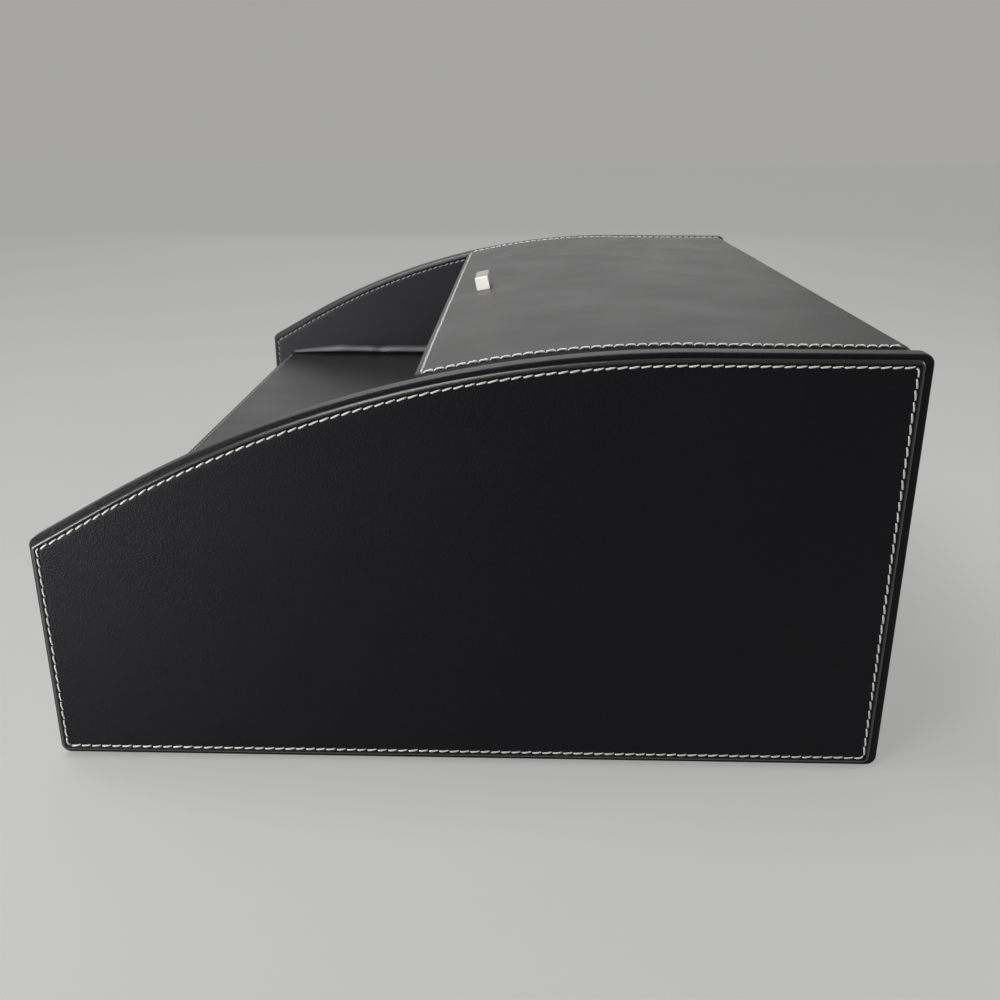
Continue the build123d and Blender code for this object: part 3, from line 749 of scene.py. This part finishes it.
def lid_leather():
    """One sheet: over the lid's top, front and sides, over its rear edge as the hinge, and
    down the outside of the back."""
    shell = Shell()
    levels = lid_levels()
    rows = []
    for deeper, drop in levels:
        ring = lid_ring(deeper)
        x, y = ring[:, 0], ring[:, 1]
        z = top_height(y, drop) + (lid_top(x, y) - top_height(y)) * (1 - drop / LID_WALL)
        rows.append(np.column_stack((x, y, z)))
    rows = np.array(rows)
    shell.add(rows)

    inner_ring = lid_ring(LID_RIM)
    across = inner_ring[LID_LENGTH_STEPS + CORNER_STEPS:][:LID_WIDTH_STEPS + 1, 0]
    lengthwise = inner_ring[:LID_LENGTH_STEPS + 1, 1]
    lengthwise[-1] = LID_FRONT + LID_RIM
    grid_x, grid_y = np.meshgrid(across, lengthwise)
    shell.add(np.stack((grid_x, grid_y, lid_top(grid_x, grid_y)), axis=2))

    drops = [drop for deeper, drop in levels]
    cross_x = np.concatenate((rows[:, 0, 0], across[1:-1], rows[::-1, -1, 0]))
    share = np.array(drops + [0.0] * (len(across) - 2) + drops[::-1]) / LID_WALL
    top_z = lid_top(cross_x, FOLD_Y)
    growth = back_high[0] - BACK_INSET - LID_HALF

    def station(y, z, under_y, under_z, widen=0.0):
        """Cross-section of the sheet: its outer line at (y, z), its edge at (under_y, under_z)."""
        x = cross_x * (1 + widen * growth / LID_HALF)
        return np.column_stack((x, y + share * (under_y - y), z + share * (under_z - z)))

    flat_x = across[1:-1]
    flat = np.column_stack((flat_x, np.full(len(flat_x), FOLD_Y), lid_top(flat_x, FOLD_Y)))
    stations = [np.vstack((rows[:, 0], flat, rows[::-1, -1]))]
    edge_y = back_low[1]
    fold_end, spread_start, spread_end, back_end = (
        HEIGHT - LID_FOLD, LID_UNDER + HINGE_SPREAD, LID_UNDER - HINGE_SPREAD, FOOT + BACK_INSET)
    for a in np.radians(np.linspace(0, 90, 8))[1:]:
        y = FOLD_Y + LID_FOLD * sin(a)
        z = fold_end + (LID_FOLD + top_z - HEIGHT) * cos(a)
        under_y = FOLD_Y + (edge_y - FOLD_Y) * sin(a) * LID_FOLD_LAG
        stations.append(station(y, z, under_y, LID_LOW))
    for z in np.linspace(fold_end, spread_start, BACK_STEPS[0])[1:]:
        stations.append(station(LID_REAR, z, edge_y - HINGE_TUCK, LID_LOW))
    for z in np.linspace(spread_start, spread_end, BACK_STEPS[1])[1:]:
        widen = np.clip((LID_UNDER + HINGE_WIDEN_AT - z) / (HINGE_SPREAD + HINGE_WIDEN_AT), 0, 1)
        stations.append(station(LID_REAR, z, edge_y, min(z, LID_LOW), widen))
    for z in np.linspace(spread_end, back_end, BACK_STEPS[2])[1:]:
        stations.append(station(LID_REAR, z, edge_y, z, 1.0))
    shell.add(stations)
    made = shell.piece("lid_and_back_leather", TOP_LEATHER, thickness=SHEET,
                       edge=SHADED_LEATHER)
    # The lid's side margins, outside the stitch lines, take the darker leather: painted shade.
    margin = (LID_HALF - LID_STITCH_SIDE + LID_SHADED_MARGIN) * MM
    for face in made.data.polygons:
        if abs(face.center.x) > margin and face.center.y < FOLD_Y * MM:
            face.material_index = 1
    return made


def lid_stitches():
    """Rows along the lid's left, front and right edge. The side rows take a lighter thread,
    painted light; the front one a darker thread, painted shade.
    """
    x, corner = LID_HALF - LID_STITCH_SIDE, LID_STITCH_CORNER
    front, rear = LID_FRONT + LID_STITCH_FRONT, FOLD_Y + LID_STITCH_REAR
    plan = np.concatenate((
        line((-x, rear), (-x, front + corner), 90),
        bend((-x + corner, front + corner), corner, 180, 270, 5),
        line((-x + corner, front), (x - corner, front), 160),
        bend((x - corner, front + corner), corner, 270, 360, 5),
        line((x, front + corner), (x, rear), 90),
    ))
    y = plan[:, 1]
    in_front = y < front + LID_FRONT_ROW
    z = lid_top(plan[:, 0], y) - np.where(in_front, LID_FRONT_SINK, 0.0)
    step = 0.5
    slope_y = (top_height(y + step) - top_height(y - step)) / (2 * step)
    normals = np.column_stack((np.zeros(len(plan)), -slope_y, np.ones(len(plan))))
    path = np.column_stack((plan, z))
    turn = [0, *np.flatnonzero(np.diff(in_front)) + 1, len(path)]
    parts = (("lid_left_stitches", LIT_LID_THREAD), ("lid_front_stitches", SHADED_THREAD),
             ("lid_right_stitches", LIT_LID_THREAD))
    return [stitches(name, path[a:b], normals[a:b], seed=21 + a, thick=LID_STITCH_RADIUS,
                     thread=thread)
            for (name, thread), a, b in zip(parts, turn, turn[1:])]


# ======== deck, hinge strip, rolls, drawer
def drawn_sheet(name, profile, half, material, thickness, steps=SHEET_STEPS,
                wave_height=0.0):
    """Leather sheet with one profile (y, z) from side to side."""
    profile = np.asarray(profile)
    rows = []
    for x in np.linspace(-half, half, steps + 1):
        row = at_x(profile, x)
        if wave_height:
            row[:, 2] += [wave_height * wave(point, DECK_WAVE_LENGTH, 3.0) for point in row]
        rows.append(row)
    shell = Shell()
    shell.add(rows)
    return shell.piece(name, material, thickness=thickness)


def deck_leather():
    """Leather over the deck's top and front edge, turned under it, with its stitch channel."""
    top, under, front = DECK_TOP, DECK_UNDER, DECK_FRONT
    stitch_y = np.arange(front + DECK_FOLD + CHANNEL_STEP, front + DECK_FINE, CHANNEL_STEP)
    back_y = np.linspace(front + (DECK_FINE + 1), deck_high[1], 60)
    profile = np.concatenate((
        line((front + DECK_TURN_UNDER, under), (front + DECK_FOLD, under), 4),
        bend((front + DECK_FOLD, under + DECK_FOLD), DECK_FOLD, 270, 180, ROUND_STEPS),
        line((front, under + DECK_FOLD), (front, top - DECK_FOLD), 3),
        bend((front + DECK_FOLD, top - DECK_FOLD), DECK_FOLD, 180, 90, ROUND_STEPS),
        np.column_stack((stitch_y, top - dip(stitch_y - front - DECK_STITCH))),
        np.column_stack((back_y, np.full(len(back_y), top))),
    ))
    return drawn_sheet("deck_leather", profile, INNER_FACE, TOP_LEATHER, SHEET,
                       steps=DECK_STEPS, wave_height=DECK_WAVE)


def deck_stitches():
    """Row along the deck's front edge, in the darker thread: painted shade."""
    end = INNER_FACE - DECK_STITCH_END
    y, z = DECK_FRONT + DECK_STITCH, DECK_TOP - STITCH_DIP
    path = np.array([(x, y, z) for x in np.linspace(-end, end, 120)])
    return stitches("deck_stitches", path, (0, 0, 1), seed=31, reach=INNER_STITCH_LENGTH,
                    thick=DECK_STITCH_RADIUS, thread=SHADED_THREAD)


def hinge_strip():
    """Inner hinge strip: up the back, slack round the corner and under the lid; and where its
    bending part starts and ends."""
    lower_low = span("hinge_strip_lower")[0]
    upper_low, upper_high = span("hinge_strip_upper")
    wall_y, lid_z, slack = lower_low[1], upper_low[2], HINGE_SLACK
    profile = np.concatenate((
        line((wall_y, lower_low[2]), (wall_y, lid_z - slack), 5),
        bend((wall_y - slack, lid_z - slack), slack, 0, 90, 20),
        line((wall_y - slack, lid_z), (upper_low[1], lid_z), 5),
        [(upper_low[1], lid_z)],
    ))
    strip = drawn_sheet("inner_hinge_strip", profile, upper_high[0], EDGE_LEATHER,
                        HINGE_SHEET)
    start = Vector((0, wall_y, lid_z - slack - HINGE_BELOW)) * MM
    end = Vector((0, wall_y - slack - HINGE_AHEAD, lid_z)) * MM
    return strip, start, end


def deck_roll(name, side, seed):
    """Padded roll in the corner between a side and the deck, slim at its front tip."""
    low, high = span(name)
    full = high[2] - low[2]
    length = high[1] - low[1] + ROLL_AHEAD
    slim, full_size = np.linspace(0, ROLL_TAPER, 26), np.linspace(ROLL_TAPER + 2, length, 44)
    rows = []
    for run in (*slim, *full_size):
        share = min(run / ROLL_TAPER, 1.0)
        grown = ROLL_TIP + (1 - ROLL_TIP) * (1 - (1 - share)**2)
        grown -= ROLL_PINCH * np.exp(-(((run - ROLL_PINCH_AT) / ROLL_PINCH_WIDTH) ** 2))
        uneven = ROLL_WAVE * wave((0, run, 0), ROLL_WAVE_LENGTH, seed) * share
        size = full * (grown + uneven)
        out, up = size * np.array(ROLL_SECTION).T
        section = np.column_stack((side * (INNER_FACE - out), DECK_TOP + up))
        rows.append(at_y(section, low[1] - ROLL_AHEAD + run))
    shell = Shell()
    shell.tube(rows)
    return shell.piece(f"{name}_leather", ROLL_LEATHER, crease=ROUND_CREASE)


def drawer_ring(deeper):
    """Closed outline (x, z) of the drawer front."""
    radius = max(DRAWER_EDGE_ROUND - deeper, 0.0)
    x0, x1 = front_low[0] + deeper, front_high[0] - deeper
    z0, z1 = front_low[2] + deeper, front_high[2] - deeper
    along, upward = DRAWER_STEPS
    return np.concatenate((
        line((x0 + radius, z0), (x1 - radius, z0), along),
        bend((x1 - radius, z0 + radius), radius, -90, 0, CORNER_STEPS),
        line((x1, z0 + radius), (x1, z1 - radius), upward),
        bend((x1 - radius, z1 - radius), radius, 0, 90, CORNER_STEPS),
        line((x1 - radius, z1), (x0 + radius, z1), along),
        bend((x0 + radius, z1 - radius), radius, 90, 180, CORNER_STEPS),
        line((x0, z1 - radius), (x0, z0 + radius), upward),
        bend((x0 + radius, z0 + radius), radius, 180, 270, CORNER_STEPS),
    ))


def drawer_leather():
    """Leather round the drawer front's edges and over its face."""
    r = DRAWER_EDGE_ROUND
    back, face = front_high[1], front_low[1]
    turn = np.radians(np.linspace(0, 90, ROUND_STEPS))
    levels = [(0.0, back)] + [(r * (1 - cos(a)), face + r * (1 - sin(a))) for a in turn]
    flat = (*np.arange(r + CHANNEL_STEP, DRAWER_FINE, CHANNEL_STEP), DRAWER_RIM)
    levels += [(d, face + float(dip(d - DRAWER_STITCH))) for d in flat]
    rows = [at_y(drawer_ring(deeper), y) for deeper, y in levels]
    shell = Shell()
    shell.add(rows, closed_rows=True)
    shell.cap(rows[-1])
    return shell.piece("drawer_front_leather", SHADED_LEATHER, thickness=SHEET)


def drawer_back_sheets():
    """Behind the drawer front: suede, and above it the leather's turned-over hem."""
    left_low, left_high = span("drawer_left_side")
    wall = span("drawer_front_board")[1][1]
    meeting = left_high[2] + HEM_GAP
    floor = span("drawer_lining")[1][2] + SHEET_GAP
    half = min(abs(left_low[0]), abs(left_high[0])) - SHEET_GAP
    lining = [(wall + LINING_OUT, meeting), (wall + LINING_OUT, floor)]
    hem = [(wall + HEM_OUT, front_high[2] - HEM_DROP), (wall + HEM_OUT, meeting)]
    return (drawn_sheet("drawer_front_lining", lining, half, SUEDE, LINING_SHEET),
            drawn_sheet("drawer_front_hem", hem, front_high[0] - HEM_END, SHADED_LEATHER,
                        HEM_SHEET))


def drawer_stitches():
    """Closed row inside the drawer front's edge."""
    path = at_y(drawer_ring(DRAWER_STITCH), front_low[1] + STITCH_DIP)
    return stitches("drawer_front_stitches", path, (0, -1, 0), seed=41, closed=True)


# ======== the object
def build_sides():
    """Both sides: skins, edge band, board, roll and thread."""
    for index, (name, side) in enumerate((("left", -1), ("right", 1))):
        outer = skin(f"{name}_outer_leather", side, SKIN_FACE, 1, OUTER_FACE - SKIN_FACE,
                     SHADED_LEATHER, BEAD_LEATHER)
        inner = skin(f"{name}_inner_leather", side, BOARD_FACE, -1, BOARD_FACE - INNER_FACE,
                     LIT_INNER_LEATHER)
        band = edge_band(f"{name}_edge_band", side)
        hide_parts(f"{name}_outer_skin")
        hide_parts(f"{name}_inner_skin")
        core = side_core(f"{name}_side_core", side)
        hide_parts(f"{name}_edge_wrap")
        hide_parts(f"{name}_side_board")
        roll = deck_roll(f"{name}_deck_roll", side, 5.0 + index)
        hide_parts(f"{name}_deck_roll")
        rows = (outer_stitches(f"{name}_outer_stitches", side, index),
                inner_stitches(f"{name}_inner_stitches", side, 10 + index))
        for made in (outer, inner, band, core, roll, *rows):
            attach(made, "case")


def build_lid():
    """Leather over lid and back, its rows and the inner strip."""
    sheet = lid_leather()
    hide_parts("lid_skin", "back_skin")
    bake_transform(sheet)
    for row in lid_stitches():
        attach(row, "lid")
    strip, start, end = hinge_strip()
    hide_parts("hinge_strip_lower", "hinge_strip_upper")
    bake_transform(strip)


def build_deck_and_drawer():
    """Leather and thread of the deck and of the drawer."""
    deck = deck_leather()
    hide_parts("deck_skin")
    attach(deck, "case")
    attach(deck_stitches(), "case")
    front = drawer_leather()
    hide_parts("drawer_front_skin")
    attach(front, "drawer")
    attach(drawer_stitches(), "drawer")
    for sheet in drawer_back_sheets():
        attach(sheet, "drawer")


def dress_nodes():
    """Materials of the pieces that show as they were built in CAD."""
    dress(("base_board", "back_board", "deck_board", "divider_board", "lid_board",
           "drawer_front_board"), CORE_BOARD)
    dress(("drawer_left_side", "drawer_right_side", "drawer_back", "drawer_bottom"), DRAWER_BOARD)
    dress(("base_skin", "divider_skin"), SHADED_LEATHER)
    dress(("compartment_lining", "lid_lining", "drawer_lining"), SUEDE)
    dress(("base_felt",), FELT)
    dress(("lid_pull", "drawer_pull"), NICKEL)
    dress(("lid_pull_screws", "lid_pull_washers", "drawer_pull_screws",
           "drawer_pull_washers"), STEEL)


# ======== studio
LAMPS = (  # name, place and target in metres, size, power, spread in degrees
    ("window_softbox", (0.1, -0.45, 1.3), (0.1, 0, 0.1), 0.6, 10.0, 180),
    ("left_softbox", (0.60, -0.60, 0.10), (0.08, -0.08, 0.10), 0.2, 0.85, 80),
    ("rear_softbox", (0.15, 1.2, 0.6), (0.1, 0, 0.1), 0.5, 6.0, 180),
    ("far_window", (-1.7, -0.1, 0.9), (0, 0, 0.1), 1.6, 3.1, 180),
    ("room_softbox", (0.9, -0.6, 1.2), (0.05, 0, 0.15), 0.4, 8.5, 180),
)


def seen_rays(tree):
    """1 for the rays that show the background: camera, glossy and transmission rays."""
    path = add_node(tree, "ShaderNodeLightPath")
    total = path.outputs["Is Camera Ray"]
    for kind in ("Is Glossy Ray", "Is Transmission Ray"):
        both = add_node(tree, "ShaderNodeMath", {"operation": "MAXIMUM"})
        feed(both, 0, total)
        feed(both, 1, path.outputs[kind])
        total = both.outputs["Value"]
    return total


def build_floor():
    """Plain table top. The rays that show it see half of it as an even tone."""
    material, tree, shader = material_tree("studio_floor")
    cloud = noise_node(tree, own_place(tree), 300.0, 2.0)
    feed(shader, "Base Color", mixed_colour(tree, cloud, (0.36, 0.36, 0.355), (0.40, 0.40, 0.395)))
    fill(shader, Roughness=0.9)
    plain = add_node(tree, "ShaderNodeEmission", Color=(0.62, 0.62, 0.60, 1))
    half = add_node(tree, "ShaderNodeMath", {"operation": "MULTIPLY"})
    half.inputs[1].default_value = 0.5
    feed(half, 0, seen_rays(tree))
    seen = add_node(tree, "ShaderNodeMixShader")
    feed(seen, "Fac", half.outputs["Value"])
    feed(seen, 1, shader.outputs["BSDF"])
    feed(seen, 2, plain.outputs["Emission"])
    feed(tree.nodes["Material Output"], "Surface", seen.outputs["Shader"])
    bpy.ops.mesh.primitive_plane_add(size=16)
    floor = bpy.context.object
    floor.name = "studio_floor"
    floor.data.materials.append(material)


def build_world():
    """Even background for the rays that show it; for the others soft room light, brightest
    behind the box and on the photo's left."""
    world = bpy.data.worlds.new("studio")
    bpy.context.scene.world = world
    world.use_nodes = True
    tree = world.node_tree
    place = add_node(tree, "ShaderNodeTexCoord")
    lean = add_node(tree, "ShaderNodeVectorMath", {"operation": "DOT_PRODUCT"})
    feed(lean, 0, place.outputs["Generated"])
    lean.inputs[1].default_value = (1.0, 0.9, 0.3)
    level = ramp(tree, lean.outputs["Value"], 1.0, 0.0, -1.2, 0.35)
    seen = add_node(tree, "ShaderNodeMix", {"data_type": "FLOAT"}, B=0.38)
    feed(seen, "Factor", seen_rays(tree))
    feed(seen, "A", level)
    background = tree.nodes["Background"]
    feed(background, "Strength", seen.outputs["Result"])
    fill(background, Color=(1.0, 0.99, 0.965, 1))


def soft_light(name, place, target, size, power, spread):
    """Square lamp at a place, turned to its target, hidden from the camera."""
    data = bpy.data.lights.new(name, "AREA")
    data.shape = "SQUARE"
    data.size = size
    data.energy = power
    data.spread = np.radians(spread)
    lamp = bpy.data.objects.new(name, data)
    bpy.context.scene.collection.objects.link(lamp)
    lamp.location = place
    lamp.visible_camera = False
    lamp.rotation_euler = (Vector(target) - Vector(place)).to_track_quat("-Z", "Y").to_euler()


def build_camera():
    """Camera of the photo."""
    ahead = Vector((-cos(CAMERA_PITCH) * cos(CAMERA_YAW), -cos(CAMERA_PITCH) * sin(CAMERA_YAW),
                    -sin(CAMERA_PITCH)))
    level = ahead.cross(Vector((0, 0, 1))).normalized()
    upright = level.cross(ahead)
    right = cos(CAMERA_ROLL) * level + sin(CAMERA_ROLL) * upright
    up = right.cross(ahead)
    data = bpy.data.cameras.new("camera")
    data.lens = CAMERA_LENS
    data.sensor_width = SENSOR_WIDTH
    data.clip_start = 0.01
    camera = bpy.data.objects.new("camera", data)
    bpy.context.scene.collection.objects.link(camera)
    axes = Matrix((right, up, -ahead)).transposed().to_4x4()
    camera.matrix_world = Matrix.Translation(CAMERA_PLACE) @ axes
    bpy.context.scene.camera = camera


build_sides()
build_lid()
build_deck_and_drawer()
dress_nodes()
build_floor()
build_world()
for lamp in LAMPS:
    soft_light(*lamp)
build_camera()
bpy.context.scene.view_settings.view_transform = "Standard"
